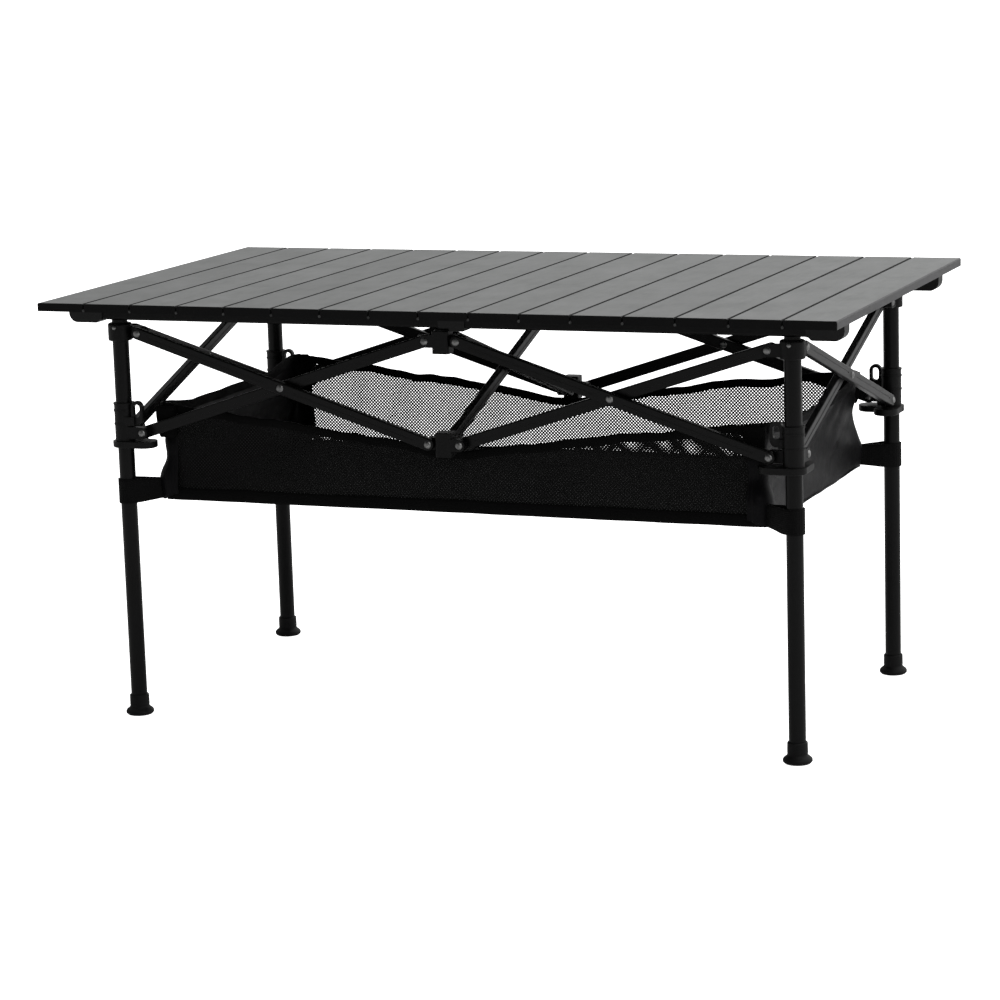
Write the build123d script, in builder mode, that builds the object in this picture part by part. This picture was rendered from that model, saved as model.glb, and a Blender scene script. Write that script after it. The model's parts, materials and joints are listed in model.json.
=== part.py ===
from build123d import *
import os
from math import cos, radians, sin

os.makedirs("parts", exist_ok=True)

# Camp kitchen table: roll-up slatted aluminium top on a scissor pop-up frame
# with a hanging storage basket.
# Frame: origin on the floor under the centre of the top, +X along the long
# side to the right, +Y to the back, +Z up. Millimetres.

FIT = 0.05              # running clearance, radial
GAP = 0.1               # gap between rail, fitting, slat and hub faces

# ---------------------------------------------------------------- top
TOP_W, TOP_D, TOP_H = 950.0, 550.0, 500.0
SLAT_N = 16
SLAT_T = 9.5            # slat thickness
SLAT_GAP = 1.8          # open joint between two slats
SLAT_WALL = 1.3
SLAT_TOP_R, SLAT_BOTTOM_R = 1.5, 0.5    # edge rounding
CELL_TRIM = 4.0         # width the two hollow cells give up besides four walls
CELL_H = SLAT_T - 2 * SLAT_WALL
CELL_R = 0.8            # corner radius of a cell
CAP_T = 2.0             # thickness of the moulded cap on each slat end
CAP_PLUG = 8.0          # length of the plugs a cap pushes into its slat
CAP_PLUG_R = 0.7        # corner radius of a plug
BEAD_R = 1.5            # knuckle along the right edge of each slat
SOCKET_R = 1.7          # groove along the left edge of the next slat
BEAD_UP = 1.6           # knuckle axis above the slat's underside
PITCH = TOP_W / SLAT_N
SLAT_Z = TOP_H - SLAT_T
SLAT_MID_Z = SLAT_Z + SLAT_T / 2
BEAD_Z = SLAT_Z + BEAD_UP
SLAT_HALF = TOP_D / 2 - CAP_T           # half the length of the extrusion

# ---------------------------------------------------------------- frame
BAR_L = 380.0           # pivot to pivot
BAR_ANGLE = 18.0        # bar slope when the frame is open
BAR_H, BAR_T, BAR_WALL = 14.0, 8.5, 1.2
BAR_EDGE_R = 1.5
GROOVE_W, GROOVE_DEPTH = 1.6, 0.4       # rolled grooves in the bar faces
GROOVE_L = BAR_L / 2 - 34
PLANE_OFF = 5.0         # bar centre planes either side of the leg plane
HUB_OFF = 26.0          # pivot to leg axis
MID_OFF = 19.0          # pivot to centre hub axis
SPAN = BAR_L * cos(radians(BAR_ANGLE))
Z_TOP = 458.0           # top pivots
Z_BOT = Z_TOP - BAR_L * sin(radians(BAR_ANGLE))     # bottom pivots
LEG_X = MID_OFF + SPAN + HUB_OFF
LEG_Y = SPAN / 2 + HUB_OFF
BAY_X = MID_OFF + SPAN / 2              # crossing of a long-side pair of bars
LEG_R, LEG_WALL = 9.5, 1.2
LEG_BORE_R = LEG_R + FIT                # hole that takes the leg
LEG_Z0, LEG_Z1 = 4.0, 464.5
FACE = PLANE_OFF + BAR_T / 2            # outer face of bars and lugs from the leg plane
LUG_GAP = 0.25                          # inner face of a lug from the leg plane
LUG_T = FACE - LUG_GAP

# ---------------------------------------------------------------- rivets
PIN_R = 2.0
PIN_HOLE_R = PIN_R + FIT
HEAD_R, HEAD_H = 4.3, 1.8
HEAD_Z = FACE + FIT                     # underside of a head from the leg plane
# one half of the rivet: radius, distance from the leg plane
RIVET_HALF = [
    (PIN_R, HEAD_Z),
    (HEAD_R, HEAD_Z),
    (3.3, HEAD_Z + 0.6 * HEAD_H),
    (2.0, HEAD_Z + 0.9 * HEAD_H),
    (0, HEAD_Z + HEAD_H),
]
RIVET_OTHER_HALF = [(radius, -z) for radius, z in reversed(RIVET_HALF)]
RIVET_OUTLINE = RIVET_OTHER_HALF + RIVET_HALF + RIVET_OTHER_HALF[:1]

# ---------------------------------------------------------------- hubs
TOP_HUB_Z, TOP_HUB_H, TOP_HUB_R = 449.0, 20.5, 14.0
NECK_Z, NECK_R = 469.0, 9.0             # neck on the top hub, up to the rail

COLLAR_R, COLLAR_H, COLLAR_DOWN = 11.8, 52.0, 17.0  # down: start below the pivots
RIB_R, RIB_H = 12.5, 2.0
RIBS_UP = (9.0, 25.0, 33.0)             # underside of each rib above the pivots
FLANGE_L, FLANGE_W, FLANGE_H = 55.0, 29.0, 7.5
FLANGE_IN, FLANGE_DOWN = 12.5, 17.5     # centre inward of the leg, base below the pivots

EAR_W, EAR_H, EAR_T = 14.0, 10.0, 2.2
EAR_OFFSETS = (1.0, 8.8)                # near faces of the ears from the leg plane
EAR_IN = 11.0                           # ear centre inward of the leg
TRUNNION_IN, TRUNNION_UP = 15.0, 14.0   # lever axis from the leg and above the pivots
TRUNNION_R, TRUNNION_L, TRUNNION_OFFSET = 1.5, 10.3, 0.9
LEVER_L, LEVER_W, LEVER_T = 28.0, 15.0, 5.0
LEVER_OFFSET = 3.5                      # near face from the leg plane
LEVER_IN, LEVER_UP = 20.6, 24.0
LOOP_L, LOOP_W, LOOP_UP = 15.0, 8.0, 26.5           # finger opening in the lever

CENTRE_W, CENTRE_R, CENTRE_DOWN = 20.0, 3.0, 14.0
CENTRE_UPPER_H, CENTRE_LOWER_H = 26.0, 28.0
BOSS_R, BOSS_H, BOSS_UP = 8.8, 7.0, 8.0             # round top of an upper centre hub

# ---------------------------------------------------------------- rails
RAIL_Z0, RAIL_Z1 = 473.5, SLAT_Z - GAP
RAIL_MID_Z = (RAIL_Z0 + RAIL_Z1) / 2
RAIL_W, RAIL_H = 18.0, RAIL_Z1 - RAIL_Z0
RAIL_WALL = 1.3
RAIL_END = 467.0        # outer end of the end fitting
FITTING_X = RAIL_END - 43.0             # end of the rail tube, start of the fitting
FITTING_Z0 = 470.0      # underside of the end fitting
FITTING_HALF_W = RAIL_W / 2 + 1.0
SPLICE_X0, SPLICE_X1 = -0.9, 30.9
SPLICE_Z0 = 470.3
PLUG_W = RAIL_W - 2 * RAIL_WALL - 2 * FIT
PLUG_H = RAIL_H - 2 * RAIL_WALL - 2 * FIT
PLUG_R = 1.9
END_PLUG_IN, END_PLUG_L = 22.0, 24.0    # reach into the rail, whole length
SPLICE_PLUG_IN = 25.0   # reach into each rail half

# ---------------------------------------------------------------- basket
BASK_X, BASK_Y = 376.0, 195.0           # half sizes
BASK_R = 30.0           # corner radius
BASK_Z0, BASK_RIM, BASK_SAG = 258.0, 374.0, 330.5
CLOTH = 1.6
RIM_CUT = 10.0          # how far the rim cutter passes the basket
# right half of the long walls' rim: x, z
RIM_HALF = [(18, BASK_SAG), (180, 354.0), (360, BASK_RIM)]
STRAP_Z, STRAP_W, STRAP_T = 255.0, 30.0, 1.4
STRAP_L, STRAP_LOOP = 26.0, 23.0        # loop centre to centre, loop outer width
STRAP_AIM = 8.8         # aim point inside the basket's square corner, in x and y

LONG_SIDES = {"front": -1, "back": 1}
ENDS = {"left": -1, "right": 1}
CORNERS = {
    f"{side}_{end}": (sx, sy)
    for side, sy in LONG_SIDES.items()
    for end, sx in ENDS.items()
}


# ================================================================ helpers
def save(builder, name):
    """Label the part and write its STEP file."""
    builder.part.label = name
    export_step(builder.part, f"parts/{name}.step")


def upright_plane(x, y, dx, dy):
    """Vertical plane through (x, y): local x runs along (dx, dy), local y up."""
    return Plane(origin=(x, y, 0), x_dir=(dx, dy, 0), z_dir=(dy, -dx, 0))


def rail_plane(x, y, direction):
    """Plane across a rail, facing along +X or -X."""
    return Plane(origin=(x, y, RAIL_MID_Z), x_dir=(0, 1, 0), z_dir=(direction, 0, 0))


# The draw_* helpers add to the sketch that is open in their caller.
def draw_lug(reach, z):
    """Lug from a hub axis out to a pivot, with its pin hole."""
    with Locations((reach / 2, z)):
        SlotCenterToCenter(reach, BAR_H)
    with Locations((reach, z)):
        Circle(PIN_HOLE_R, mode=Mode.SUBTRACT)


def draw_slat_outline(sketch, x_mid, width, socket_x):
    """Slat section, with a groove at socket_x unless that is None."""
    with Locations((x_mid, SLAT_MID_Z)):
        Rectangle(width, SLAT_T)
    fillet(sketch.vertices().group_by(Axis.Y)[-1], SLAT_TOP_R)
    fillet(sketch.vertices().group_by(Axis.Y)[0], SLAT_BOTTOM_R)
    if socket_x is not None:
        with Locations((socket_x, BEAD_Z)):
            Circle(SOCKET_R, mode=Mode.SUBTRACT)


def draw_cells(x_mid, cell_w, clearance, radius, mode=Mode.ADD):
    """The two cells either side of a slat's centre web."""
    shift = cell_w / 2 + SLAT_WALL / 2
    with Locations((x_mid - shift, SLAT_MID_Z), (x_mid + shift, SLAT_MID_Z)):
        RectangleRounded(cell_w - 2 * clearance, CELL_H - 2 * clearance, radius, mode=mode)


# ================================================================ slats
def make_slat(index):
    first, last = index == 0, index == SLAT_N - 1
    joint_left = -TOP_W / 2 + index * PITCH
    joint_right = joint_left + PITCH
    x_left = joint_left + (0.0 if first else SLAT_GAP / 2)
    x_right = joint_right - (0.0 if last else SLAT_GAP / 2)
    x_mid, width = (x_left + x_right) / 2, x_right - x_left
    cell_w = (width - 4 * SLAT_WALL - CELL_TRIM) / 2
    socket_x = None if first else joint_left

    with BuildPart() as slat:
        # hollow extrusion with a centre web
        with BuildSketch(Plane.XZ) as profile:
            draw_slat_outline(profile, x_mid, width, socket_x)
            draw_cells(x_mid, cell_w, 0, CELL_R, Mode.SUBTRACT)
        extrude(amount=SLAT_HALF, both=True)
        if not last:
            with BuildSketch(Plane.XZ):
                with Locations((joint_right, BEAD_Z)):
                    Circle(BEAD_R)
            extrude(amount=TOP_D / 2, both=True)
        # moulded end caps, each its own solid
        for sy in (-1, 1):
            cap_plane = Plane.XZ.offset(-sy * (SLAT_HALF + FIT))
            with BuildSketch(cap_plane) as plate:
                draw_slat_outline(plate, x_mid, width, socket_x)
                if not last:
                    with Locations((joint_right, BEAD_Z)):
                        Circle(BEAD_R + FIT, mode=Mode.SUBTRACT)
            extrude(amount=-sy * (CAP_T - FIT))
            with BuildSketch(cap_plane):
                draw_cells(x_mid, cell_w, FIT, CAP_PLUG_R)
            extrude(amount=sy * CAP_PLUG)
    save(slat, f"slat_{index + 1:02d}")


# ================================================================ legs, hubs, feet
# x, y is the leg axis; along_x and along_y are the upright planes through it
# whose local x points inward.
def make_leg_tube(corner, x, y):
    with BuildPart() as leg_tube:
        with BuildSketch(Plane.XY.offset(LEG_Z0)):
            with Locations((x, y)):
                Circle(LEG_R)
                Circle(LEG_R - LEG_WALL, mode=Mode.SUBTRACT)
        extrude(amount=LEG_Z1 - LEG_Z0)
    save(leg_tube, f"{corner}_leg_tube")


def make_top_hub(corner, x, y, along_x, along_y):
    """Cap over the leg, a lug for each of its two bars and a neck under the rail."""
    with BuildPart() as top_hub:
        with BuildSketch(Plane.XY.offset(TOP_HUB_Z)):
            with Locations((x, y)):
                Circle(TOP_HUB_R)
        extrude(amount=TOP_HUB_H)
        fillet(top_hub.edges().group_by(Axis.Z)[-1], 2.5)
        fillet(top_hub.edges().group_by(Axis.Z)[0], 1.2)
        for plane in (along_x, along_y):
            with BuildSketch(plane.offset(-LUG_GAP)):
                draw_lug(HUB_OFF, Z_TOP)
            extrude(amount=-LUG_T)
        with BuildSketch(Plane.XY.offset(NECK_Z)):
            with Locations((x, y)):
                Circle(NECK_R)
        extrude(amount=RAIL_Z0 - GAP - NECK_Z)
        # blind hole for the leg
        bore_z0, bore_z1 = TOP_HUB_Z - 1.0, LEG_Z1 + 0.3
        with BuildSketch(Plane.XY.offset(bore_z0)):
            with Locations((x, y)):
                Circle(LEG_BORE_R)
        extrude(amount=bore_z1 - bore_z0, mode=Mode.SUBTRACT)
    save(top_hub, f"{corner}_top_hub")


def make_foot(corner, x, y, along_x):
    """Rubber boot on the leg's lower end."""
    with BuildPart() as foot:
        # half section: radius, z
        with BuildSketch(along_x):
            with BuildLine():
                Polyline((0, 0), (14.5, 0), (16.5, 2.0), (16.5, 4.0))
                Spline((16.5, 4.0), (14.6, 6.6), (12.2, 8.6), (11.6, 12.0))
                Polyline((11.6, 12.0), (11.4, 23.0), (10.6, 24.0), (0, 24.0), (0, 0))
            make_face()
        revolve(axis=Axis((x, y, 0), (0, 0, 1)))
        with BuildSketch(Plane.XY.offset(LEG_Z0 - 0.2)):
            with Locations((x, y)):
                Circle(LEG_BORE_R)
        extrude(amount=30.0, mode=Mode.SUBTRACT)
    save(foot, f"{corner}_foot")


def make_slider_hub(corner, x, y, sx, sy, along_x, along_y):
    """Ribbed collar on the leg, flange, two lugs and the ears of the latch lever."""
    with BuildPart() as slider:
        with BuildSketch(Plane.XY.offset(Z_BOT - COLLAR_DOWN)):
            with Locations((x, y)):
                Circle(COLLAR_R)
        extrude(amount=COLLAR_H)
        for rib_up in RIBS_UP:
            with BuildSketch(Plane.XY.offset(Z_BOT + rib_up)):
                with Locations((x, y)):
                    Circle(RIB_R)
            extrude(amount=RIB_H)
        with BuildSketch(Plane.XY.offset(Z_BOT - FLANGE_DOWN)):
            with Locations((x - sx * FLANGE_IN, y)):
                SlotOverall(FLANGE_L, FLANGE_W)
            with Locations((x, y - sy * FLANGE_IN)):
                SlotOverall(FLANGE_L, FLANGE_W, rotation=90)
        extrude(amount=FLANGE_H)
        fillet(slider.faces().sort_by(Axis.Z)[0].edges(), 1.5)
        for plane in (along_x, along_y):
            with BuildSketch(plane.offset(LUG_GAP)):
                draw_lug(HUB_OFF, Z_BOT)
            extrude(amount=LUG_T)
        for ear_offset in EAR_OFFSETS:
            with BuildSketch(along_x.offset(ear_offset)):
                with Locations((EAR_IN, Z_BOT + TRUNNION_UP)):
                    Rectangle(EAR_W, EAR_H)
                with Locations((TRUNNION_IN, Z_BOT + TRUNNION_UP)):
                    Circle(TRUNNION_R + FIT, mode=Mode.SUBTRACT)
            extrude(amount=EAR_T)
        # through hole for the leg
        with BuildSketch(Plane.XY.offset(Z_BOT - 20.0)):
            with Locations((x, y)):
                Circle(LEG_BORE_R)
        extrude(amount=60.0, mode=Mode.SUBTRACT)
    save(slider, f"{corner}_slider_hub")


def make_latch_lever(corner, along_x):
    """Finger loop on two moulded trunnions."""
    with BuildPart() as lever:
        with BuildSketch(along_x.offset(LEVER_OFFSET)):
            with Locations((LEVER_IN, Z_BOT + LEVER_UP)):
                SlotOverall(LEVER_L, LEVER_W, rotation=90)
            with Locations((LEVER_IN, Z_BOT + LOOP_UP)):
                SlotOverall(LOOP_L, LOOP_W, rotation=90, mode=Mode.SUBTRACT)
        extrude(amount=LEVER_T)
        with BuildSketch(along_x.offset(TRUNNION_OFFSET)):
            with Locations((TRUNNION_IN, Z_BOT + TRUNNION_UP)):
                Circle(TRUNNION_R)
        extrude(amount=TRUNNION_L)
    save(lever, f"{corner}_latch_lever")


# ================================================================ centre hubs
def make_centre_hub(name, sy, upper):
    y = sy * LEG_Y
    z_pivot = Z_TOP if upper else Z_BOT
    lug_side = -1 if upper else 1       # side of its upright plane each lug lies on
    with BuildPart() as hub:
        with BuildSketch(Plane.XY.offset(z_pivot - CENTRE_DOWN)):
            with Locations((0, y)):
                RectangleRounded(CENTRE_W, 2 * FACE, CENTRE_R)
        extrude(amount=CENTRE_UPPER_H if upper else CENTRE_LOWER_H)
        fillet(hub.edges().group_by(Axis.Z)[-1], 1.0)
        if upper:
            with BuildSketch(Plane.XY.offset(z_pivot + BOSS_UP)):
                with Locations((0, y)):
                    Circle(BOSS_R)
            extrude(amount=BOSS_H)
            fillet(hub.edges().group_by(Axis.Z)[-1], 2.8)
        # lugs to the left and right, then one for the bar that runs front to back
        for dx, dy, reach in ((-1, 0, MID_OFF), (1, 0, MID_OFF), (0, -sy, HUB_OFF)):
            with BuildSketch(upright_plane(0, y, dx, dy).offset(lug_side * LUG_GAP)):
                draw_lug(reach, z_pivot)
            extrude(amount=lug_side * LUG_T)
    save(hub, name)


# ================================================================ scissor bars
def make_bar(name, x, y, normal_x, normal_y, crossing):
    """Bar crossing its partner at (x, y), on the normal's side of the leg plane.

    Seen from that side it falls to the right. One bar of each pair also
    carries the crossing rivet.
    """
    run_x, run_y = -normal_y * SPAN / 2, normal_x * SPAN / 2
    top = Vector(x - run_x, y - run_y, Z_TOP)
    bottom = Vector(x + run_x, y + run_y, Z_BOT)
    normal = Vector(normal_x, normal_y, 0)
    middle = (top + bottom) * 0.5
    centre = Plane(
        origin=middle + normal * PLANE_OFF,
        x_dir=(bottom - top).normalized(),
        z_dir=normal,
    )
    with BuildPart() as bar:
        with BuildSketch(centre):
            SlotCenterToCenter(BAR_L, BAR_H)
        extrude(amount=BAR_T / 2, both=True)
        fillet(bar.edges().filter_by(lambda e: e.length > BAR_L * 0.9), BAR_EDGE_R)
        # open box section, end to end
        with BuildSketch(centre):
            Rectangle(BAR_L + 40, BAR_H - 2 * BAR_WALL)
        extrude(amount=BAR_T / 2 - BAR_WALL, both=True, mode=Mode.SUBTRACT)
        # rolled grooves along both faces
        for face in (-1, 1):
            with BuildSketch(centre.offset(face * BAR_T / 2)):
                with Locations((-BAR_L / 4, 0), (BAR_L / 4, 0)):
                    SlotOverall(GROOVE_L, GROOVE_W)
            extrude(amount=-face * GROOVE_DEPTH, mode=Mode.SUBTRACT)
        with BuildSketch(centre):
            with Locations((-BAR_L / 2, 0), (0, 0), (BAR_L / 2, 0)):
                Circle(PIN_HOLE_R)
        extrude(amount=BAR_T, both=True, mode=Mode.SUBTRACT)
        # domed rivets, each its own solid
        for pivot in [top, bottom] + ([middle] if crossing else []):
            section = Plane(origin=pivot, x_dir=(0, 0, 1), z_dir=Vector(0, 0, 1).cross(normal))
            with BuildSketch(section):
                with BuildLine():
                    Polyline(*RIVET_OUTLINE)
                make_face()
            revolve(axis=Axis(pivot, normal))
    save(bar, name)


def make_scissor(outer_name, inner_name, x, y, normal_x, normal_y):
    """Two crossed bars, the outer one on the normal's side."""
    make_bar(outer_name, x, y, normal_x, normal_y, crossing=True)
    make_bar(inner_name, x, y, -normal_x, -normal_y, crossing=False)


# ================================================================ rails
# right_x is the X direction to the right of a viewer outside that long side.
def make_rail(side, sy):
    """Box tube in two halves, parted beside the centre hub."""
    right_x = -sy
    halves = (
        (-right_x * FITTING_X, right_x * (SPLICE_X0 - GAP)),
        (right_x * (SPLICE_X1 + GAP), right_x * FITTING_X),
    )
    with BuildPart() as rail:
        for x0, x1 in halves:
            with BuildSketch(rail_plane(min(x0, x1), sy * LEG_Y, 1)):
                RectangleRounded(RAIL_W, RAIL_H, 3.0)
                RectangleRounded(
                    RAIL_W - 2 * RAIL_WALL, RAIL_H - 2 * RAIL_WALL, 1.7, mode=Mode.SUBTRACT
                )
            extrude(amount=abs(x1 - x0))
    save(rail, f"{side}_rail")


def make_rail_fittings():
    start = FITTING_X + GAP
    dip0, dip1 = FITTING_X + 1.5, FITTING_X + 8.0       # where the underside steps down
    round_x, round_z = RAIL_END - 11.0, 481.0           # ends of the rounded corner
    with BuildPart() as fittings:
        for sy in LONG_SIDES.values():
            y = sy * LEG_Y
            right_x = -sy
            # end fittings: deeper than the rail, lower outer corner rounded
            for sx in ENDS.values():
                with BuildSketch(upright_plane(0, y, sx, 0)):
                    with BuildLine():
                        Polyline((start, RAIL_Z1), (start, RAIL_Z0), (dip0, RAIL_Z0))
                        Spline(
                            (dip0, RAIL_Z0), (FITTING_X + 4.5, 471.7), (dip1, FITTING_Z0),
                            tangents=((1, 0), (1, 0)),
                        )
                        Line((dip1, FITTING_Z0), (round_x, FITTING_Z0))
                        ThreePointArc(
                            (round_x, FITTING_Z0), (RAIL_END - 3.2, 473.3), (RAIL_END, round_z)
                        )
                        Polyline((RAIL_END, round_z), (RAIL_END, RAIL_Z1), (start, RAIL_Z1))
                    make_face()
                extrude(amount=FITTING_HALF_W, both=True)
                with BuildSketch(rail_plane(sx * (FITTING_X - END_PLUG_IN), y, sx)):
                    RectangleRounded(PLUG_W, PLUG_H, PLUG_R)
                extrude(amount=END_PLUG_L)
            # centre splice: joins the two rail halves
            with BuildSketch(upright_plane(0, y, right_x, 0)):
                with BuildLine():
                    Polyline(
                        (SPLICE_X0, RAIL_Z0), (11.5, RAIL_Z0), (14.5, SPLICE_Z0),
                        (SPLICE_X1 - 2.0, SPLICE_Z0), (SPLICE_X1, 472.0),
                        (SPLICE_X1, RAIL_Z1), (SPLICE_X0, RAIL_Z1), (SPLICE_X0, RAIL_Z0),
                    )
                make_face()
            extrude(amount=FITTING_HALF_W, both=True)
            with BuildSketch(rail_plane(right_x * (SPLICE_X0 - SPLICE_PLUG_IN), y, right_x)):
                RectangleRounded(PLUG_W, PLUG_H, PLUG_R)
            extrude(amount=SPLICE_X1 - SPLICE_X0 + 2 * SPLICE_PLUG_IN)
    save(fittings, "rail_fittings")


# ================================================================ basket
def make_basket():
    """Open-topped bag: straight end walls, long walls whose rim dips to the centre hubs."""
    rim = [(-x, z) for x, z in reversed(RIM_HALF)] + RIM_HALF
    rim_x = RIM_HALF[-1][0]
    cut_z = BASK_RIM + RIM_CUT
    with BuildPart() as basket:
        with BuildSketch(Plane.XY.offset(BASK_Z0)):
            RectangleRounded(2 * BASK_X, 2 * BASK_Y, BASK_R)
        extrude(amount=BASK_RIM - BASK_Z0)
        with BuildSketch(Plane.XY.offset(BASK_Z0 + CLOTH)):
            RectangleRounded(2 * (BASK_X - CLOTH), 2 * (BASK_Y - CLOTH), BASK_R - CLOTH)
        extrude(amount=BASK_RIM - BASK_Z0, mode=Mode.SUBTRACT)
        with BuildSketch(Plane.XZ):
            with BuildLine():
                Polyline(*rim, (rim_x, cut_z), (-rim_x, cut_z), rim[0])
            make_face()
        extrude(amount=BASK_Y + RIM_CUT, both=True, mode=Mode.SUBTRACT)
    save(basket, "storage_basket")


def make_straps():
    """Webbing loops that tie the basket's lower corners to the legs."""
    reach_x = LEG_X - BASK_X + STRAP_AIM
    reach_y = LEG_Y - BASK_Y + STRAP_AIM
    with BuildPart() as straps:
        for sx, sy in CORNERS.values():
            inward = Vector(-sx * reach_x, -sy * reach_y, 0).normalized()
            leg = (sx * LEG_X, sy * LEG_Y, STRAP_Z)
            with BuildSketch(Plane(origin=leg, x_dir=inward, z_dir=(0, 0, 1))):
                with Locations((STRAP_L / 2, 0)):
                    SlotCenterToCenter(STRAP_L, STRAP_LOOP)
                    SlotCenterToCenter(STRAP_L, STRAP_LOOP - 2 * STRAP_T, mode=Mode.SUBTRACT)
            extrude(amount=STRAP_W)
    save(straps, "basket_straps")


# ================================================================ build
for slat_index in range(SLAT_N):
    make_slat(slat_index)

for corner, (sx, sy) in CORNERS.items():
    x, y = sx * LEG_X, sy * LEG_Y
    along_x = upright_plane(x, y, -sx, 0)
    along_y = upright_plane(x, y, 0, -sy)
    make_leg_tube(corner, x, y)
    make_top_hub(corner, x, y, along_x, along_y)
    make_foot(corner, x, y, along_x)
    make_slider_hub(corner, x, y, sx, sy, along_x, along_y)
    make_latch_lever(corner, along_x)

for side, sy in LONG_SIDES.items():
    make_centre_hub(f"{side}_centre_top_hub", sy, upper=True)
    make_centre_hub(f"{side}_centre_bottom_hub", sy, upper=False)
    for end, sx in ENDS.items():
        bay = f"{side}_{end}"
        make_scissor(f"{bay}_outer_bar", f"{bay}_inner_bar", sx * BAY_X, sy * LEG_Y, 0, sy)
    make_rail(side, sy)

for end, sx in ENDS.items():
    make_scissor(f"{end}_end_outer_bar", f"{end}_end_inner_bar", sx * LEG_X, 0, sx, 0)
make_scissor("middle_right_bar", "middle_left_bar", 0, 0, 1, 0)

make_rail_fittings()
make_basket()
make_straps()
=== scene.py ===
# A folding slat-top table with a fabric storage basket slung between its four legs.
# Metres, +Z up, floor at z = 0. The long side runs along X: left is -X, right is +X,
# front is -Y and back is +Y. The hard parts come from the CAD; the cloth is built here.
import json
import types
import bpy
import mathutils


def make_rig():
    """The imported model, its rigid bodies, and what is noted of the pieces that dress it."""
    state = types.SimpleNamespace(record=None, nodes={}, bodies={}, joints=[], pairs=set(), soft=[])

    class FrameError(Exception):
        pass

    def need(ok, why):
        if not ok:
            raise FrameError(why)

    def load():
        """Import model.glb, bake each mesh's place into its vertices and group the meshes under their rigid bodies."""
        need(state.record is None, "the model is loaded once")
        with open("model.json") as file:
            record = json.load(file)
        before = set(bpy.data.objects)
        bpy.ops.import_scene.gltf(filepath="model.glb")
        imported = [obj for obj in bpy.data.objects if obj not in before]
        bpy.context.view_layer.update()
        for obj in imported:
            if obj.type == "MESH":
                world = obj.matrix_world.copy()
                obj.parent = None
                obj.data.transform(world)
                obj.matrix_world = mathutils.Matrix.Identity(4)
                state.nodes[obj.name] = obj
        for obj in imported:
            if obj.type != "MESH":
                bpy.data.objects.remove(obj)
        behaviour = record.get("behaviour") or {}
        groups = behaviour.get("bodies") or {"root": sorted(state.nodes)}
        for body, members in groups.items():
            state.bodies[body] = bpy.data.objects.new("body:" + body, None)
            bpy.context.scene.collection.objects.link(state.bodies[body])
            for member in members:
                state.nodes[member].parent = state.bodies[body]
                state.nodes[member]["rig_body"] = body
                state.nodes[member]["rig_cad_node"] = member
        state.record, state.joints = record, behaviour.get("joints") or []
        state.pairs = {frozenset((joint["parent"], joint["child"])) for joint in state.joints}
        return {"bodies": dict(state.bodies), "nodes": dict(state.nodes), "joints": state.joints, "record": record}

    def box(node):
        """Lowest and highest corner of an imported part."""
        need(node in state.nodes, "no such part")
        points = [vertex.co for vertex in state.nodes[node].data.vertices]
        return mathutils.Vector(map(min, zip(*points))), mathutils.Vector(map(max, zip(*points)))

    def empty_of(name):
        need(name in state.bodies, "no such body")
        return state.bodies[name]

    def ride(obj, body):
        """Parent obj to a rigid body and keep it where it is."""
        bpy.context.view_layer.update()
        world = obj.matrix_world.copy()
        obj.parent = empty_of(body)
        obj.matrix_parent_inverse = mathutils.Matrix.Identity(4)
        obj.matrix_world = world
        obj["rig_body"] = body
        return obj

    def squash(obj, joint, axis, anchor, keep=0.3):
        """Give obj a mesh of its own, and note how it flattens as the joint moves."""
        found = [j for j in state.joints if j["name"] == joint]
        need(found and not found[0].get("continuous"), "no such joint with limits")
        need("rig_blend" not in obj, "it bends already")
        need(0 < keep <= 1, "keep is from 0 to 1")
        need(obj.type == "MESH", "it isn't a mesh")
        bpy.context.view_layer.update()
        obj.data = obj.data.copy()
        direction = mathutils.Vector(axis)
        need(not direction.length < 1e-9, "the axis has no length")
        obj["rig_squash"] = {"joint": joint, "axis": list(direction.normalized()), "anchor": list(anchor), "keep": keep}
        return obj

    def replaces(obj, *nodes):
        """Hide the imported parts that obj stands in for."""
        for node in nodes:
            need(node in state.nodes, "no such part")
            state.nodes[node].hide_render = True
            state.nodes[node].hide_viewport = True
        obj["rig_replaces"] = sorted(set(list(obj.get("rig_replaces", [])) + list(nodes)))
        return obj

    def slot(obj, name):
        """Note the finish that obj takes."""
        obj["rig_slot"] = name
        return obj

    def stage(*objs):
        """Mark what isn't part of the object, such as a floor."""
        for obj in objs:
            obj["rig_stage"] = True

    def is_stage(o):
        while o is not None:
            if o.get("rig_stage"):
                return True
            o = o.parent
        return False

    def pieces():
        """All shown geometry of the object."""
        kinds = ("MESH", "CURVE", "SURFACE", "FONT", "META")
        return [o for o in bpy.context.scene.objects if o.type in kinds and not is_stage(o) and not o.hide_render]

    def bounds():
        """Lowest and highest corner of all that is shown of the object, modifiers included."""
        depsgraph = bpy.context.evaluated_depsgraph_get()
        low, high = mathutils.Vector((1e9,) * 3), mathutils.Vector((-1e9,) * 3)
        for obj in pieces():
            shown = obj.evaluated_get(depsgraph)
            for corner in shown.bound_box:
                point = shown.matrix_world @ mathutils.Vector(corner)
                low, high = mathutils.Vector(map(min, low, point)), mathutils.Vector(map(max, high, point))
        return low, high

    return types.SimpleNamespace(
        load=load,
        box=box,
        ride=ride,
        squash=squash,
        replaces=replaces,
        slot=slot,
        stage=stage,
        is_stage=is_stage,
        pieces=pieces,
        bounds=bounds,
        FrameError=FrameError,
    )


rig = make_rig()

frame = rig.load()
CAD_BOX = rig.bounds()

import json
import math
from functools import cached_property

import bmesh
import bpy
from mathutils import Matrix, Vector, noise

scene = bpy.context.scene
scene.view_settings.view_transform = "Standard"
NODES = frame["nodes"]


# ------------------------------------------------------------------ sizes and places
def box_centre(node):
    low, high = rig.box(node)
    return (low + high) / 2


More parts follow.
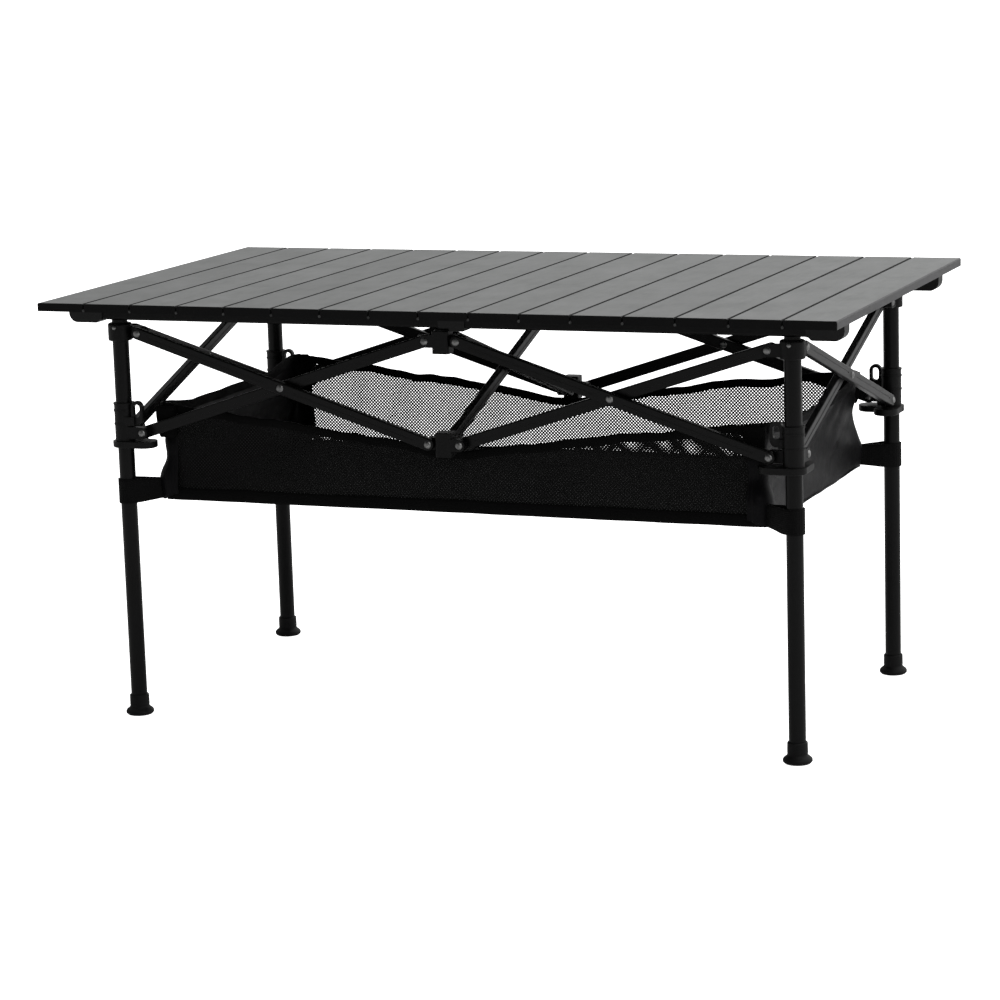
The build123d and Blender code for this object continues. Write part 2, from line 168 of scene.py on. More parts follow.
# signs of x and y at each corner
CORNERS = {
    "front_left": (-1, -1), "front_right": (1, -1),
    "back_left": (-1, 1), "back_right": (1, 1),
}
SIDES = ((-1, "left"), (1, "right"))

LEG = {corner: box_centre(corner + "_leg_tube") for corner in CORNERS}
LEG_X, LEG_Y = LEG["front_right"].x, LEG["back_right"].y
FLANGE_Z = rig.box("front_right_slider_hub")[0].z

# basket: half its length and depth, its floor and its top
BASKET_LOW, BASKET_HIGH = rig.box("storage_basket")
BASKET_X, BASKET_Y = BASKET_HIGH.x, BASKET_HIGH.y
BASKET_Z, BASKET_TOP = BASKET_LOW.z, BASKET_HIGH.z

TOP_LENGTH = 0.950
SLATS = 16
SLAT_PITCH = TOP_LENGTH / SLATS


# ------------------------------------------------------------------ shader helpers
class Shader:
    """Short calls for building one node tree."""

    def __init__(self, tree):
        self.tree = tree

    @cached_property
    def position(self):
        return self.add("TexCoord").outputs["Object"]

    @cached_property
    def bsdf(self):
        return self.tree.nodes["Principled BSDF"]

    def feed(self, node, inputs):
        """Link each input that is given a socket and set the others."""
        for key, value in inputs.items():
            if isinstance(value, bpy.types.NodeSocket):
                self.tree.links.new(value, node.inputs[key])
            else:
                node.inputs[key].default_value = value

    def add(self, kind, inputs=None, **settings):
        node = self.tree.nodes.new("ShaderNode" + kind)
        for key, value in settings.items():
            setattr(node, key, value)
        self.feed(node, inputs or {})
        return node

    def surface(self, inputs):
        self.feed(self.bsdf, inputs)

    def noise(self, scale, detail=3.0, rough=0.5, stretch=None):
        where = self.position
        if stretch:
            where = self.add("Mapping", {"Scale": stretch, "Vector": where}).outputs["Vector"]
        inputs = {"Scale": scale, "Detail": detail, "Roughness": rough, "Vector": where}
        return self.add("TexNoise", inputs).outputs["Fac"]

    def threads(self, direction, period):
        """Bands across one axis, with the period in metres."""
        # at scale 1 a band repeats every pi / 10
        inputs = {"Scale": 0.314159 / period, "Distortion": 0.0, "Vector": self.position}
        wave = self.add("TexWave", inputs, wave_type="BANDS", bands_direction=direction)
        return wave.outputs["Fac"]

    def ramp(self, factor, stops):
        node = self.add("ValToRGB", {"Fac": factor})
        elements = node.color_ramp.elements
        for element, (position, colour) in zip(elements, (stops[0], stops[-1])):
            element.position = position
            element.color = (*colour, 1)
        for position, colour in stops[1:-1]:
            elements.new(position).color = (*colour, 1)
        return node.outputs["Color"]

    def map_range(self, value, to, source=(0.0, 1.0), **settings):
        inputs = {
            "From Min": source[0], "From Max": source[1],
            "To Min": to[0], "To Max": to[1], "Value": value,
        }
        return self.add("MapRange", inputs, **settings).outputs["Result"]

    def math(self, operation, a, b=0.0):
        return self.add("Math", {0: a, 1: b}, operation=operation).outputs[0]

    def bump(self, height, strength, distance):
        inputs = {"Strength": strength, "Distance": distance, "Height": height}
        self.surface({"Normal": self.add("Bump", inputs).outputs["Normal"]})


def new_material(name):
    mat = bpy.data.materials.new(name)
    mat.use_nodes = True
    return mat, Shader(mat.node_tree)


def grey(value):
    return (value, value, value)


# ------------------------------------------------------------------ materials
def slat_material():
    mat, s = new_material("anodised_slat")
    # soft clouds, fine lines along Y and short flecks
    cloud = s.noise(scale=14.0, detail=4.0, rough=0.55)
    lines = s.noise(scale=1.0, detail=2.0, rough=0.6, stretch=(900.0, 6.0, 900.0))
    fleck = s.noise(scale=1.0, detail=4.0, rough=0.65, stretch=(95.0, 40.0, 95.0))
    mixed = s.math("ADD", s.math("MULTIPLY", cloud, 0.45), s.math("MULTIPLY", lines, 0.20))
    mixed = s.math("ADD", mixed, s.math("MULTIPLY", fleck, 0.35))
    colour = s.ramp(mixed, [
        (0.36, (0.125, 0.131, 0.127)),
        (0.50, (0.185, 0.190, 0.187)),
        (0.64, (0.235, 0.238, 0.238)),
    ])
    # each slat's own shade, 0.93 to 1.09
    x = s.add("SeparateXYZ", {0: s.position}).outputs["X"]
    slat = s.math("DIVIDE", s.math("ADD", x, TOP_LENGTH / 2), SLAT_PITCH)
    own = s.add("TexWhiteNoise", {"W": s.math("FLOOR", slat)}, noise_dimensions="1D")
    shade = s.math("ADD", s.math("MULTIPLY", own.outputs["Value"], 0.16), 0.93)
    # painted shade: the rounded edge beside each joint is darkened, by distance from the slat's middle in pitches
    off_middle = s.math("ABSOLUTE", s.math("SUBTRACT", s.math("FRACT", slat), 0.5))
    painted_edge_shade = s.map_range(off_middle, to=(1.0, 0.30), source=(0.468, 0.484),
                       interpolation_type="SMOOTHSTEP")
    # the colour scaled by each slat's own tone and by the painted shade at its edges
    shaded = s.add("VectorMath", {0: colour, "Scale": s.math("MULTIPLY", shade, painted_edge_shade)},
                   operation="SCALE")
    s.surface({
        "Base Color": shaded.outputs[0],
        "Metallic": 0.85,
        "Roughness": s.map_range(mixed, to=(0.36, 0.52)),
    })
    s.bump(lines, strength=0.25, distance=0.00004)
    return mat


def powder(name, base, rough, spec, metallic=0.0):
    """Powder coat: patchy gloss over a fine orange peel."""
    mat, s = new_material(name)
    peel = s.noise(scale=900.0, detail=2.0)
    patch = s.noise(scale=22.0, detail=4.0, rough=0.6)
    light = (base * 1.3, base * 1.3, base * 1.36)
    s.surface({
        "Base Color": s.ramp(patch, [(0.3, grey(base * 0.85)), (0.75, light)]),
        "Roughness": s.map_range(patch, to=rough),
        "Metallic": metallic,
        "Specular IOR Level": spec,
    })
    s.bump(peel, strength=0.25, distance=0.0001)
    return mat


def plastic(name, base, rough, spec, grain=1600.0):
    mat, s = new_material(name)
    grains = s.noise(scale=grain, detail=2.0)
    patch = s.noise(scale=35.0, detail=3.0)
    s.surface({
        "Base Color": s.ramp(patch, [(0.3, (base, base, base * 1.05)), (0.8, grey(base * 1.6))]),
        "Roughness": s.map_range(patch, to=rough),
        "Specular IOR Level": spec,
    })
    s.bump(grains, strength=0.35, distance=0.00012)
    return mat


def metal(name, dark, light, rough):
    mat, s = new_material(name)
    speckle = s.noise(scale=260.0, detail=4.0, rough=0.6)
    s.surface({
        "Base Color": s.ramp(speckle, [(0.3, dark), (0.75, light)]),
        "Metallic": 1.0,
        "Roughness": s.map_range(speckle, to=rough),
    })
    s.bump(speckle, strength=0.2, distance=0.00005)
    return mat


def cloth(name, base, rough, period, sheen, spec, tint=(1, 1, 1), coat=0.0, depth=0.00015):
    """Woven cloth: period is the thread spacing and depth the height of the weave."""
    mat, s = new_material(name)
    across_x, across_y, across_z = (s.threads(axis, period) for axis in "XYZ")
    plan = s.math("MULTIPLY", s.math("ADD", across_x, across_y), 0.5)
    weave = s.math("ADD", plan, across_z)
    patch = s.noise(scale=30.0, detail=4.0, rough=0.6)
    mixed = s.math("ADD", s.math("MULTIPLY", patch, 0.8), s.math("MULTIPLY", weave, 0.12))
    dark = tuple(base * 0.8 * t for t in tint)
    light = tuple(base * 1.5 * t for t in tint)
    s.surface({
        "Base Color": s.ramp(mixed, [(0.3, dark), (0.8, light)]),
        "Roughness": s.map_range(patch, to=rough),
        "Sheen Weight": sheen,
        "Specular IOR Level": spec,
        "Coat Weight": coat,
        "Coat Roughness": 0.35,
    })
    s.bump(weave, strength=0.5, distance=depth)
    return mat


SLAT = slat_material()
# painted shadow: the near-black finish on the faces beside each joint stands for the shade in the seam
SLAT_EDGE_SHADOW = powder("slat_edge_shadow", base=0.004, rough=(0.5, 0.6), spec=0.08)
SLAT_SIDE = powder("slat_side", base=0.055, rough=(0.4, 0.5), spec=0.22, metallic=0.3)
CAP = plastic("cap_plastic", base=0.0028, rough=(0.42, 0.56), spec=0.09)
BEAD = metal("bead_aluminium", dark=grey(0.035), light=grey(0.10), rough=(0.38, 0.52))
BAR = powder("bar_powder_coat", base=0.0026, rough=(0.24, 0.36), spec=0.15)
LEG_COAT = powder("leg_powder_coat", base=0.0024, rough=(0.26, 0.38), spec=0.14)
RAIL = powder("rail_powder_coat", base=0.0035, rough=(0.4, 0.52), spec=0.12)
HUB = plastic("hub_plastic", base=0.0024, rough=(0.38, 0.52), spec=0.16)
LEVER = plastic("lever_plastic", base=0.0030, rough=(0.32, 0.46), spec=0.18)
FOOT = plastic("foot_rubber", base=0.0030, rough=(0.5, 0.66), spec=0.16, grain=900.0)
FITTING = plastic("fitting_plastic", base=0.0045, rough=(0.34, 0.48), spec=0.20)
RIVET = metal("rivet_nickel", dark=grey(0.12), light=(0.30, 0.30, 0.295), rough=(0.24, 0.44))
FABRIC = cloth("coated_fabric", base=0.0030, rough=(0.34, 0.5), period=0.0011,
               sheen=0.005, spec=0.06, tint=(1, 0.96, 1.14), coat=0.02)
FLOOR = cloth("floor_fabric", base=0.0030, rough=(0.5, 0.7), period=0.0011,
              sheen=0.01, spec=0.08, tint=(1, 1, 1.03))
NET = cloth("net_thread", base=0.0030, rough=(0.5, 0.7), period=0.0008,
            sheen=0.01, spec=0.10)
HEM = cloth("hem_tape", base=0.0019, rough=(0.65, 0.85), period=0.0014,
            sheen=0.01, spec=0.06, depth=0.0003)
WEBBING = cloth("webbing", base=0.0025, rough=(0.6, 0.8), period=0.0022,
                sheen=0.015, spec=0.08, depth=0.0005)


# ------------------------------------------------------------------ CAD pieces
def paint(node, mats, pick=None):
    """Give a CAD piece its materials; pick(points) chooses the slot of each face."""
    mesh = NODES[node].data
    mesh.materials.clear()
    for mat in mats:
        mesh.materials.append(mat)
    if pick:
        for face in mesh.polygons:
            face.material_index = pick([mesh.vertices[i].co for i in face.vertices])


BEAD_RADIUS = 0.00153    # the round bead in each joint, just over its true size
BEAD_RISE = 0.0016       # bead centre above the slat's underside
CAP_Y = 0.27303          # the end caps lie beyond this
EDGE_WIDTH = 0.0021      # strip beside each joint; inside the top it is painted near-black as the seam's shadow
OUTER_FACE_X = 0.4735    # the outer sides of the first and last slats lie beyond this


def paint_slat(number):
    name = f"slat_{number:02d}"
    bead_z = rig.box(name)[0].z + BEAD_RISE
    right_joint = -TOP_LENGTH / 2 + number * SLAT_PITCH

    def pick(points):
        if number < SLATS and all(
                math.hypot(p.x - right_joint, p.z - bead_z) < BEAD_RADIUS for p in points):
            return 2
        if all(abs(p.y) > CAP_Y for p in points):
            return 1
        x = sum(p.x for p in points) / len(points)
        from_right = x - right_joint
        if abs(from_right) < EDGE_WIDTH or abs(from_right + SLAT_PITCH) < EDGE_WIDTH:
            # slot 3 is the near-black painted shadow in the seam, slot 4 the outer side finish
            return 4 if abs(x) > OUTER_FACE_X else 3
        return 0

    paint(name, (SLAT, CAP, BEAD, SLAT_EDGE_SHADOW, SLAT_SIDE), pick)


RIVET_INSET = 0.007      # rivet centre from the ends of the bar's box
RIVET_REACH = 0.0046     # faces within this of a rivet centre belong to the rivet


def paint_bar(name):
    low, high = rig.box(name)
    centre, size = (low + high) / 2, high - low
    along = 0 if size.x > size.y else 1
    reach = size[along] / 2 - RIVET_INSET
    drop = size.z / 2 - RIVET_INSET
    rivets = [(s * reach, t * drop) for s in (-1, 0, 1) for t in (-1, 0, 1)]

    def pick(points):
        for a, z in rivets:
            if all(math.hypot(p[along] - centre[along] - a, p.z - centre.z - z) < RIVET_REACH
                   for p in points):
                return 1
        return 0

    paint(name, (BAR, RIVET), pick)


ONE_MATERIAL_SUFFIX = {"_leg_tube": LEG_COAT, "_foot": FOOT, "_latch_lever": LEVER, "_hub": HUB}
ONE_MATERIAL_NAME = {"front_rail": RAIL, "back_rail": RAIL, "rail_fittings": FITTING}

for number in range(1, SLATS + 1):
    paint_slat(number)
for name in NODES:
    if name.endswith("_bar"):
        paint_bar(name)
    for suffix, mat in ONE_MATERIAL_SUFFIX.items():
        if name.endswith(suffix):
            paint(name, (mat,))
    if name in ONE_MATERIAL_NAME:
        paint(name, (ONE_MATERIAL_NAME[name],))


# ------------------------------------------------------------------ mesh helpers
def add_object(name, data):
    obj = bpy.data.objects.new(name, data)
    scene.collection.objects.link(obj)
    return obj


def shade_smooth(mesh):
    mesh.polygons.foreach_set("use_smooth", [True] * len(mesh.polygons))


def mesh_object(name, verts, faces, mat):
    mesh = bpy.data.meshes.new(name)
    mesh.from_pydata([tuple(v) for v in verts], [], faces)
    mesh.materials.append(mat)
    shade_smooth(mesh)
    mesh.update()
    return add_object(name, mesh)


def thicken(obj, thickness):
    """Give a surface a real thickness, half to each side."""
    solid = obj.modifiers.new("solid", "SOLIDIFY")
    solid.thickness = thickness
    solid.offset = 0.0
    depsgraph = bpy.context.evaluated_depsgraph_get()
    mesh = bpy.data.meshes.new_from_object(obj.evaluated_get(depsgraph))
    obj.modifiers.clear()
    surface = obj.data
    obj.data = mesh
    bpy.data.meshes.remove(surface)


def sheet(name, point_at, columns, rows, thickness, mat, closed=False):
    """A thick sheet through point_at(u, v), u and v in 0..1; closed joins u = 1 to u = 0."""
    lines = columns if closed else columns + 1
    verts = [point_at(i / columns, j / rows) for i in range(lines) for j in range(rows + 1)]
    faces = []
    for i in range(columns):
        for j in range(rows):
            a = i * (rows + 1) + j
            b = ((i + 1) % lines) * (rows + 1) + j
            faces.append((a, b, b + 1, a + 1))
    obj = mesh_object(name, verts, faces, mat)
    thicken(obj, thickness)
    shade_smooth(obj.data)
    return obj


def clamp(t):
    return max(0.0, min(1.0, t))


def smoothstep(t):
    t = clamp(t)
    return t * t * (3 - 2 * t)


def wobble(x, y, z=0.0):
    """Smooth noise, about -1 to 1."""
    return noise.noise(Vector((x, y, z)))


# ------------------------------------------------------------------ basket, long walls
CORNER_RADIUS = 0.020                         # of the fabric ends
WALL_X = BASKET_X - CORNER_RADIUS - 0.004     # where the long walls meet the fabric ends
SEAM_X = 0.148                                # between the floor's middle and end strips
TOP_HEM = 0.0095                              # height of the top hem
HEM_THICKNESS = 0.0026
NET_STEP = 0.0021                             # half a net diamond
NET_HEIGHT = 0.13                             # tallest the net can be
NET_HOLE = 0.48                               # open share of a diamond, along one side
FLOOR_THICKNESS = 0.0012

basket_parts = []   # (object, body it rides on, how it folds)


def fold(axis, anchor_y, keep):
    return {"axis": axis, "anchor": (0, anchor_y, BASKET_Z), "keep": keep}


ALONG_X, ALONG_Y = (1, 0, 0), (0, 1, 0)
WALL_FOLD = fold(ALONG_X, 0, keep=0.13)


def rim_z(x, seed):
    """Top of a long wall: high at the corners, pulled down in the middle."""
    out = abs(x)
    sweep = 0.3305 + 0.0425 * min(1.0, max(0.0, out - 0.018) / 0.335) ** 0.85
    waves = 0.0032 * wobble(x * 16.0, seed) + 0.0016 * wobble(x * 47.0, seed + 9.0)
    return sweep + waves * smoothstep((out - 0.02) / 0.06) - 0.001


def wall_y(x, z, side, seed):
    """A long wall's gentle billow, always inside the CAD wall."""
    t = clamp((z - BASKET_Z) / (BASKET_TOP - BASKET_Z))
    inward = 0.004 + 0.006 * math.sin(math.pi * t) * (0.6 + 0.4 * wobble(x * 7.0, seed))
    inward += 0.0025 * wobble(x * 22.0, z * 18.0, seed)
    return side * (BASKET_Y - 0.0012 - max(0.0, inward))


def floor_point(x, y):
    folds = 0.0018 * wobble(x * 9.0, y * 9.0, 2.0)
    folds += 0.0010 * wobble(x * 30.0 + y * 22.0, y * 8.0, 5.0)
    return (x, y, BASKET_Z + 0.0026 + max(-0.0012, folds))


def wall_net(tag, side, seed, hem_height):
    """A knitted plate with a hole in every diamond, cut to the hems."""
    half_columns, rows = int(WALL_X / NET_STEP), int(NET_HEIGHT / NET_STEP)
    first_z = BASKET_Z + hem_height - 0.003
    knots, verts, faces = {}, [], []

    def knot(i, j):
        if (i, j) not in knots:
            x, z = i * NET_STEP, first_z + j * NET_STEP
            knots[i, j] = len(verts)
            verts.append((x, wall_y(x, z, side, seed), z))
        return knots[i, j]

    for i in range(-half_columns + 1, half_columns):
        for j in range(rows):
            if (i + j) % 2:
                continue
            x, z = i * NET_STEP, first_z + (j + 1) * NET_STEP
            if z + NET_STEP > rim_z(x, seed) - 0.005:
                continue
            outer = (knot(i, j), knot(i + 1, j + 1), knot(i, j + 2), knot(i - 1, j + 1))
            centre = sum((Vector(verts[k]) for k in outer), Vector()) / 4
            first = len(verts)
            verts.extend([centre.lerp(Vector(verts[k]), NET_HOLE) for k in outer])
            for k in range(4):
                after = (k + 1) % 4
                faces.append((outer[k], outer[after], first + after, first + k))
    net = mesh_object(f"{tag}_net", verts, faces, NET)
    thicken(net, 0.0006)
    return net


def wall_top_hem(tag, side, seed):
    """Folded tape with a soft roll, following the rim."""
    def point_at(u, v):
        x = (2 * u - 1) * (WALL_X + 0.004)
        height = TOP_HEM * (1.0 + 0.12 * wobble(x * 25.0, seed + 4.0))
        z = rim_z(x, seed) - height * v
        bulge = 0.0006 * math.sin(math.pi * v) + 0.00045 * wobble(x * 60.0, v * 3.0, seed)
        return (x, wall_y(x, z, side, seed) + side * bulge, z)

    return sheet(f"{tag}_top_hem", point_at, 220, 5, HEM_THICKNESS, HEM)


def wall_bottom_hem(tag, side, seed, hem_height):
    def point_at(u, v):
        x = (2 * u - 1) * (WALL_X + 0.012)
        z = BASKET_Z + 0.0008 + hem_height * v + 0.0012 * wobble(x * 14.0, seed + 2.0) * v
        bulge = 0.0016 * math.sin(math.pi * v)
        return (x, wall_y(x, BASKET_Z + hem_height, side, seed) + side * bulge, z)

    return sheet(f"{tag}_bottom_hem", point_at, 160, 5, HEM_THICKNESS, HEM)


def middle_floor(tag, side):
    """Half the depth of the floor's middle strip; the halves overlap at y = 0."""
    def point_at(u, v):
        return floor_point(SEAM_X * (2 * u - 1), side * (-0.001 + v * (BASKET_Y - 0.005)))

    return sheet(f"{tag}_floor", point_at, 56, 36, FLOOR_THICKNESS, FLOOR)


# side of y, name, noise seed, height of the bottom hem
for side, tag, seed, hem_height in ((-1, "front", 3.7, 0.014), (1, "back", 11.3, 0.004)):
    body = tag + "_centre_bottom"
    floor_fold = fold(ALONG_Y, side * (BASKET_Y - 0.006), keep=0.22)
    basket_parts += [
        (wall_net(tag, side, seed, hem_height), body, WALL_FOLD),
        (wall_top_hem(tag, side, seed), body, WALL_FOLD),
        (wall_bottom_hem(tag, side, seed, hem_height), body, WALL_FOLD),
        (middle_floor(tag, side), body, floor_fold),
    ]


# ------------------------------------------------------------------ basket, ends
def end_floor(tag, sx):
    """The floor's end strip: full depth, with rounded outer corners."""
    radius = 0.013
    inner_x = SEAM_X - 0.001

    def point_at(u, v):
        y = (2 * v - 1) * (BASKET_Y - 0.006)
        into_corner = max(0.0, abs(y) - (BASKET_Y - radius))
        outer_x = BASKET_X - 0.016 + math.sqrt(max(0.0, radius ** 2 - into_corner ** 2))
        return floor_point(sx * (inner_x + u * (outer_x - inner_x)), y)

    return sheet(f"{tag}_floor", point_at, 34, 72, FLOOR_THICKNESS, FLOOR)


END_TAIL = 0.008                              # lap onto each long wall
END_ARC = math.pi / 2 * CORNER_RADIUS
END_STRAIGHT = 2 * (BASKET_Y - CORNER_RADIUS)
END_LENGTH = END_STRAIGHT + 2 * END_ARC + 2 * END_TAIL


def end_outline(s):
    """Plan of the right end, from front to back: (x, y) and the outward normal at length s."""
    r = CORNER_RADIUS
    x, y = BASKET_X - r, BASKET_Y - r
    s -= END_TAIL
    if s < 0:
        return (x + s, -BASKET_Y), (0, -1)
    if s < END_ARC:
        a = s / r
        return (x + r * math.sin(a), -y - r * math.cos(a)), (math.sin(a), -math.cos(a))
    s -= END_ARC
    if s < END_STRAIGHT:
        return (BASKET_X, -y + s), (1, 0)
    s -= END_STRAIGHT
    if s < END_ARC:
        a = s / r
        return (x + r * math.cos(a), y + r * math.sin(a)), (math.cos(a), math.sin(a))
    return (x - (s - END_ARC), BASKET_Y), (0, 1)


def end_surface(sx):
    """The coated sheet of one end, wrapping both corners, as point_at(u, v)."""
    def point_at(u, v):
        s = u * END_LENGTH
        from_end = min(s, END_LENGTH - s)
        (x, y), normal = end_outline(s)
        off_middle = abs(2 * u - 1)
        arch = math.sin(math.pi * v)

        top = 0.3620 + 0.0120 * smoothstep((off_middle - 0.45) / 0.45)
        top += 0.0016 * wobble(y * 20.0, sx * 5.0)
        if from_end < END_TAIL * 0.7:
            top -= 0.004
        bottom = BASKET_Z + 0.001 + 0.007 * smoothstep((off_middle - 0.90) / 0.10)
        z = bottom + (top - bottom) * v

        # the cloth leans in at mid height and is creased
        lean = 0.004 + 0.010 * arch * (1 - 0.6 * off_middle)
        crease = 0.0052 * wobble(y * 11.0 + z * 30.0, z * 12.0, sx * 3.0)
        crease += 0.0032 * wobble(y * 30.0 - z * 46.0, z * 18.0, sx * 7.0)
        inward = max(0.0008, lean + crease * (0.4 + 0.6 * arch))
        # the lower corners are pushed back out
        push = smoothstep((off_middle - 0.72) / 0.20)
        push *= 0.55 + 0.45 * math.sin(math.pi * min(1.0, v / 0.45))
        push *= 1 - smoothstep((v - 0.15) / 0.45)
        if from_end < END_TAIL:
            push *= 0.5
        inward -= 0.0085 * push
        return (sx * (x - normal[0] * inward), y - normal[1] * inward, z)

    return point_at


def end_hem(tag, sx):
    """Hem tape over the top tenth of the end panel."""
    panel = end_surface(sx)

    def point_at(u, v):
        x, y, z = panel(0.04 + 0.92 * u, 1.0 - 0.10 * v)
        out = Vector((x - sx * 0.2, y * 0.4, 0)).normalized() * 0.00056
        return (x + out.x, y + out.y, z + 0.0006)

    return sheet(f"{tag}_end_hem", point_at, 130, 4, 0.0034, HEM)


END_FLOOR_FOLD = fold(ALONG_Y, -BASKET_Y + 0.006, keep=0.215)
END_FOLD = fold(ALONG_Y, -BASKET_Y, keep=0.24)

for sx, tag in SIDES:
    basket_parts.append((end_floor(tag, sx), f"front_{tag}_slider", END_FLOOR_FOLD))
for sx, tag in SIDES:
    body = f"front_{tag}_slider"
    panel = sheet(f"{tag}_end_panel", end_surface(sx), 150, 28, 0.0013, FABRIC)
    basket_parts += [(panel, body, END_FOLD), (end_hem(tag, sx), body, END_FOLD)]

for obj, body, folding in basket_parts:
    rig.ride(obj, body)
    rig.squash(obj, "fold", **folding)
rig.replaces(basket_parts[0][0], "storage_basket")
for obj, _, _ in basket_parts:
    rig.slot(obj, "basket_fabric")


# ------------------------------------------------------------------ straps and corner tabs
STRAP_RADIUS = 0.0108    # of the loop round the leg


def strap_path(sx, sy):
    """Plan of a strap: half round the leg, out to the basket's corner and back."""
    leg = Vector((sx * LEG_X, sy * LEG_Y))
    corner = Vector((sx * (BASKET_X - 0.0068), sy * (BASKET_Y - 0.0068)))
    out = (corner - leg).normalized()
    across = Vector((-out.y, out.x))
    reach = (corner - leg).length + 0.001

    def run(t, sign):
        half_gap = STRAP_RADIUS * (1 - smoothstep(t) * 0.86)
        return leg + out * (reach * t) + across * (sign * half_gap)

    path = []
    for k in range(25):
        a = math.pi / 2 + math.pi * k / 24
        path.append(leg + (out * math.cos(a) + across * math.sin(a)) * STRAP_RADIUS)
    path += [run(k / 12, -1) for k in range(1, 13)]
    path += [run(k / 12, 1) for k in range(12, 0, -1)]
    return path


def strap(corner, sx, sy):
    """A webbing loop, narrower away from the leg."""
    path = strap_path(sx, sy)
    leg = Vector((sx * LEG_X, sy * LEG_Y))

    def point_at(u, v):
        p = path[round(u * len(path))]
        away = min(1.0, (p - leg).length / 0.05)
        middle = 0.2705 + 0.002 * away
        half = 0.0150 - 0.0035 * away + 0.0004 * wobble(p.x * 90, p.y * 90)
        return (p.x, p.y, middle + (2 * v - 1) * half)

    obj = sheet(f"{corner}_strap", point_at, len(path), 8, 0.0014, WEBBING, closed=True)
    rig.ride(obj, f"{corner}_slider")
    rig.squash(obj, "fold", axis=(0, 0, 1), anchor=(sx * LEG_X, sy * LEG_Y, FLANGE_Z), keep=0.35)
    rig.slot(obj, "strap_webbing")
    return obj


def corner_tab(corner, sx, sy):
    """The fabric sleeve that hangs the basket's upper corner on the slider's flange."""
    half_x, half_y = 0.0120, 0.0042

    def point_at(u, v):
        a = u * 2 * math.pi
        cos, sin = math.cos(a), math.sin(a)
        z = 0.334 + 0.037 * v
        taper = 1.0 - 0.25 * smoothstep((0.25 - v) / 0.25)
        bump = 0.0006 * wobble(a * 1.3, z * 60.0, sx * 2.0 + sy)
        # powers below 1 square the oval off
        dx = (half_x * taper + bump) * math.copysign(abs(cos) ** 0.6, cos)
        dy = (half_y + bump) * math.copysign(abs(sin) ** 0.7, sin)
        return (sx * (BASKET_X - 0.019 + 0.002 * v) + dx, sy * (BASKET_Y - 0.0015) + dy, z)

    obj = sheet(f"{corner}_corner_tab", point_at, 28, 8, 0.0014, HEM, closed=True)
    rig.ride(obj, f"{corner}_slider")
    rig.slot(obj, "basket_fabric")


straps = []
for corner, (sx, sy) in CORNERS.items():
    straps.append(strap(corner, sx, sy))
    corner_tab(corner, sx, sy)
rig.replaces(straps[0], "basket_straps")


# ------------------------------------------------------------------ neck screws
SCREW_CROWN = 0.0016
# radius, height along the screw's axis
SCREW_PROFILE = [(0.0012, 0.0015), (0.0021, 0.0010), (0.0025, 0.0004), (0.0025, -0.0012)]
SCREW_SEGMENTS = 20


def neck_screw(corner, sy):
    """A domed head on the outer face of a top hub's neck, facing along Y."""
    name = f"{corner}_neck_screw"
    hub_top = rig.box(corner + "_top_hub")[1].z
    centre = Vector((LEG[corner].x, LEG[corner].y + sy * 0.0142, hub_top - 0.0085))
    bm = bmesh.new()
    crown = bm.verts.new(centre + Vector((0, sy * SCREW_CROWN, 0)))
    rings = []
    for radius, height in SCREW_PROFILE:
        ring = []
        for k in range(SCREW_SEGMENTS):
            a = 2 * math.pi * k / SCREW_SEGMENTS
            offset = Vector((sy * radius * math.sin(a), sy * height, radius * math.cos(a)))
            ring.append(bm.verts.new(centre + offset))
        rings.append(ring)
    for k in range(SCREW_SEGMENTS):
        bm.faces.new((crown, rings[0][k], rings[0][(k + 1) % SCREW_SEGMENTS]))
    for upper, lower in zip(rings, rings[1:]):
        for k in range(SCREW_SEGMENTS):
            after = (k + 1) % SCREW_SEGMENTS
            bm.faces.new((upper[k], lower[k], lower[after], upper[after]))
    bm.faces.new(list(reversed(rings[-1])))
    bmesh.ops.recalc_face_normals(bm, faces=bm.faces)
    mesh = bpy.data.meshes.new(name)
    bm.to_mesh(mesh)
    bm.free()
    mesh.materials.append(RIVET)
    shade_smooth(mesh)
    obj = add_object(name, mesh)
    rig.ride(obj, f"{corner}_leg")
    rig.slot(obj, "hub_plastic")


for corner, (_, sy) in CORNERS.items():
    neck_screw(corner, sy)


# ------------------------------------------------------------------ floor, light, camera
def studio_floor():
    half, z = 30, -0.0005
    mesh = bpy.data.meshes.new("floor")
    square = [(-half, -half, z), (half, -half, z), (half, half, z), (-half, half, z)]
    mesh.from_pydata(square, [], [(0, 1, 2, 3)])
    ground = add_object("studio_floor", mesh)
    mat, s = new_material("pale_floor")
    # it glows white to the camera only, so it lights nothing
    seen = s.add("LightPath").outputs["Is Camera Ray"]
    s.surface({
        "Base Color": (0.93, 0.93, 0.93, 1),
        "Roughness": 0.9,
        "Specular IOR Level": 0.1,
        "Emission Color": (1, 1, 1, 1),
        "Emission Strength": s.math("MULTIPLY", seen, 1.2),
    })
    mesh.materials.append(mat)
    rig.stage(ground)


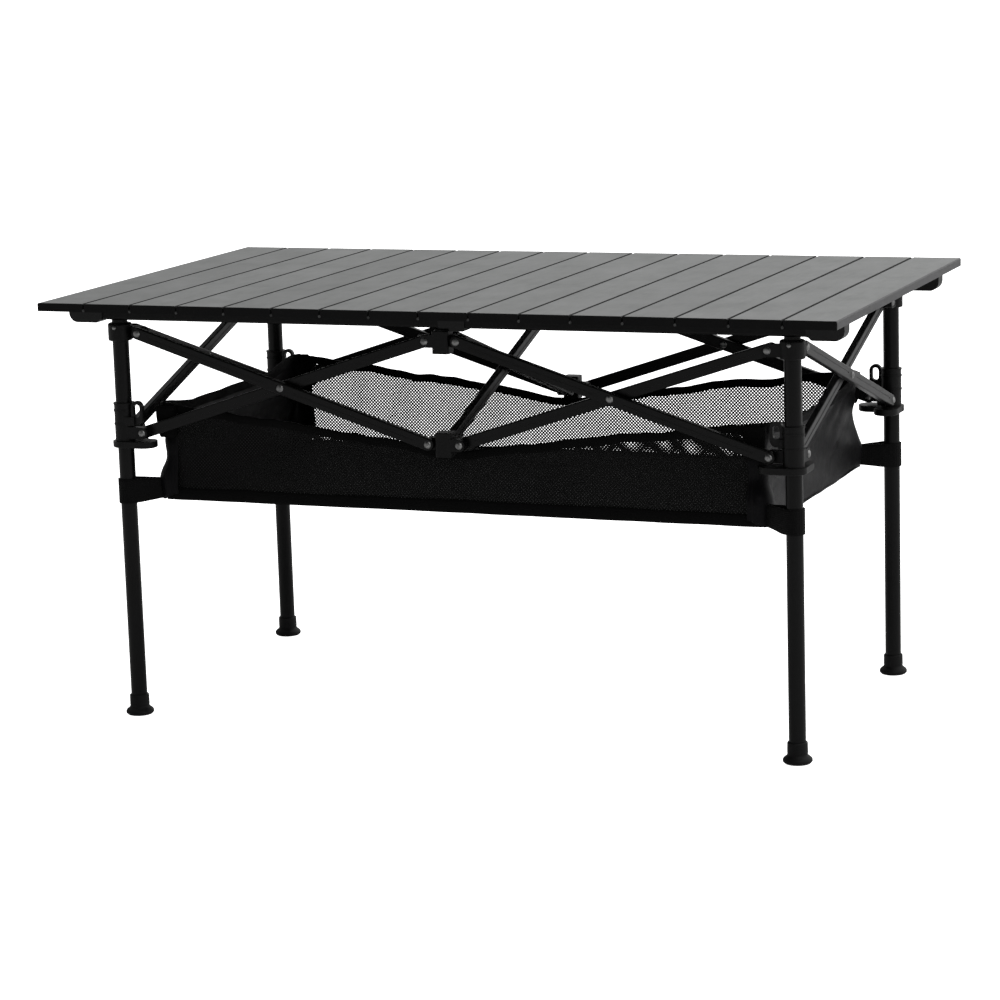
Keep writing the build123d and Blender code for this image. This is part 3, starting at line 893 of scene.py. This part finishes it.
def studio_world():
    """White to the camera; as light, brighter from the right and dimmer from the front."""
    world = bpy.data.worlds.new("studio")
    scene.world = world
    world.use_nodes = True
    s = Shader(world.node_tree)
    seen = s.add("LightPath").outputs["Is Camera Ray"]
    direction = s.add("SeparateXYZ", {0: s.add("TexCoord").outputs["Generated"]}).outputs
    from_right = s.map_range(direction["X"], to=(0.28, 1.42), source=(-0.75, 0.25))
    from_back = s.map_range(direction["Y"], to=(0.10, 1.0), source=(-0.70, 0.15))
    light = s.math("MULTIPLY", from_right, from_back)
    # inputs 2 and 3 are the two numbers being mixed
    strength = s.add("Mix", {"Factor": seen, 2: light, 3: 1.0}, data_type="FLOAT").outputs[0]
    background = world.node_tree.nodes["Background"]
    s.feed(background, {"Color": (1, 1, 1, 1), "Strength": strength})


def area_light(name, place, target, size, power):
    light = bpy.data.lights.new(name, "AREA")
    light.shape = "RECTANGLE"
    light.size = light.size_y = size
    light.energy = power
    obj = add_object(name, light)
    obj.location = place
    aim = Vector(target) - Vector(place)
    obj.rotation_euler = aim.to_track_quat("-Z", "Y").to_euler()


def add_camera(place, yaw, pitch, roll, lens):
    """Yaw turns left from +Y, pitch tilts up and roll turns about the view; all in degrees."""
    yaw, pitch, roll = (math.radians(angle) for angle in (yaw, pitch, roll))
    forward = Vector((
        -math.sin(yaw) * math.cos(pitch),
        math.cos(yaw) * math.cos(pitch),
        math.sin(pitch),
    ))
    level_right = Vector((math.cos(yaw), math.sin(yaw), 0))
    level_up = level_right.cross(forward)
    right = math.cos(roll) * level_right + math.sin(roll) * level_up
    up = -math.sin(roll) * level_right + math.cos(roll) * level_up
    data = bpy.data.cameras.new("camera")
    data.sensor_width = 36.0
    data.lens = lens
    data.clip_end = 200.0
    camera = add_object("camera", data)
    turn = Matrix((right, up, -forward)).transposed().to_4x4()
    camera.matrix_world = Matrix.Translation(place) @ turn
    scene.camera = camera


studio_floor()
studio_world()
area_light("key", place=(2.6, -2.4, 3.0), target=(0, 0, 0.3), size=1.6, power=26)
area_light("fill", place=(-3.0, -2.0, 1.6), target=(0, 0, 0.35), size=1.8, power=5)
add_camera(place=(1.3754, -3.4836, 0.9692), yaw=21.82, pitch=-11.06, roll=-1.76, lens=115.407)

NEW_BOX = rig.bounds()
with open("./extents.json", "w") as fh:
    json.dump({"cad": [list(v) for v in CAD_BOX], "visual": [list(v) for v in NEW_BOX]}, fh)
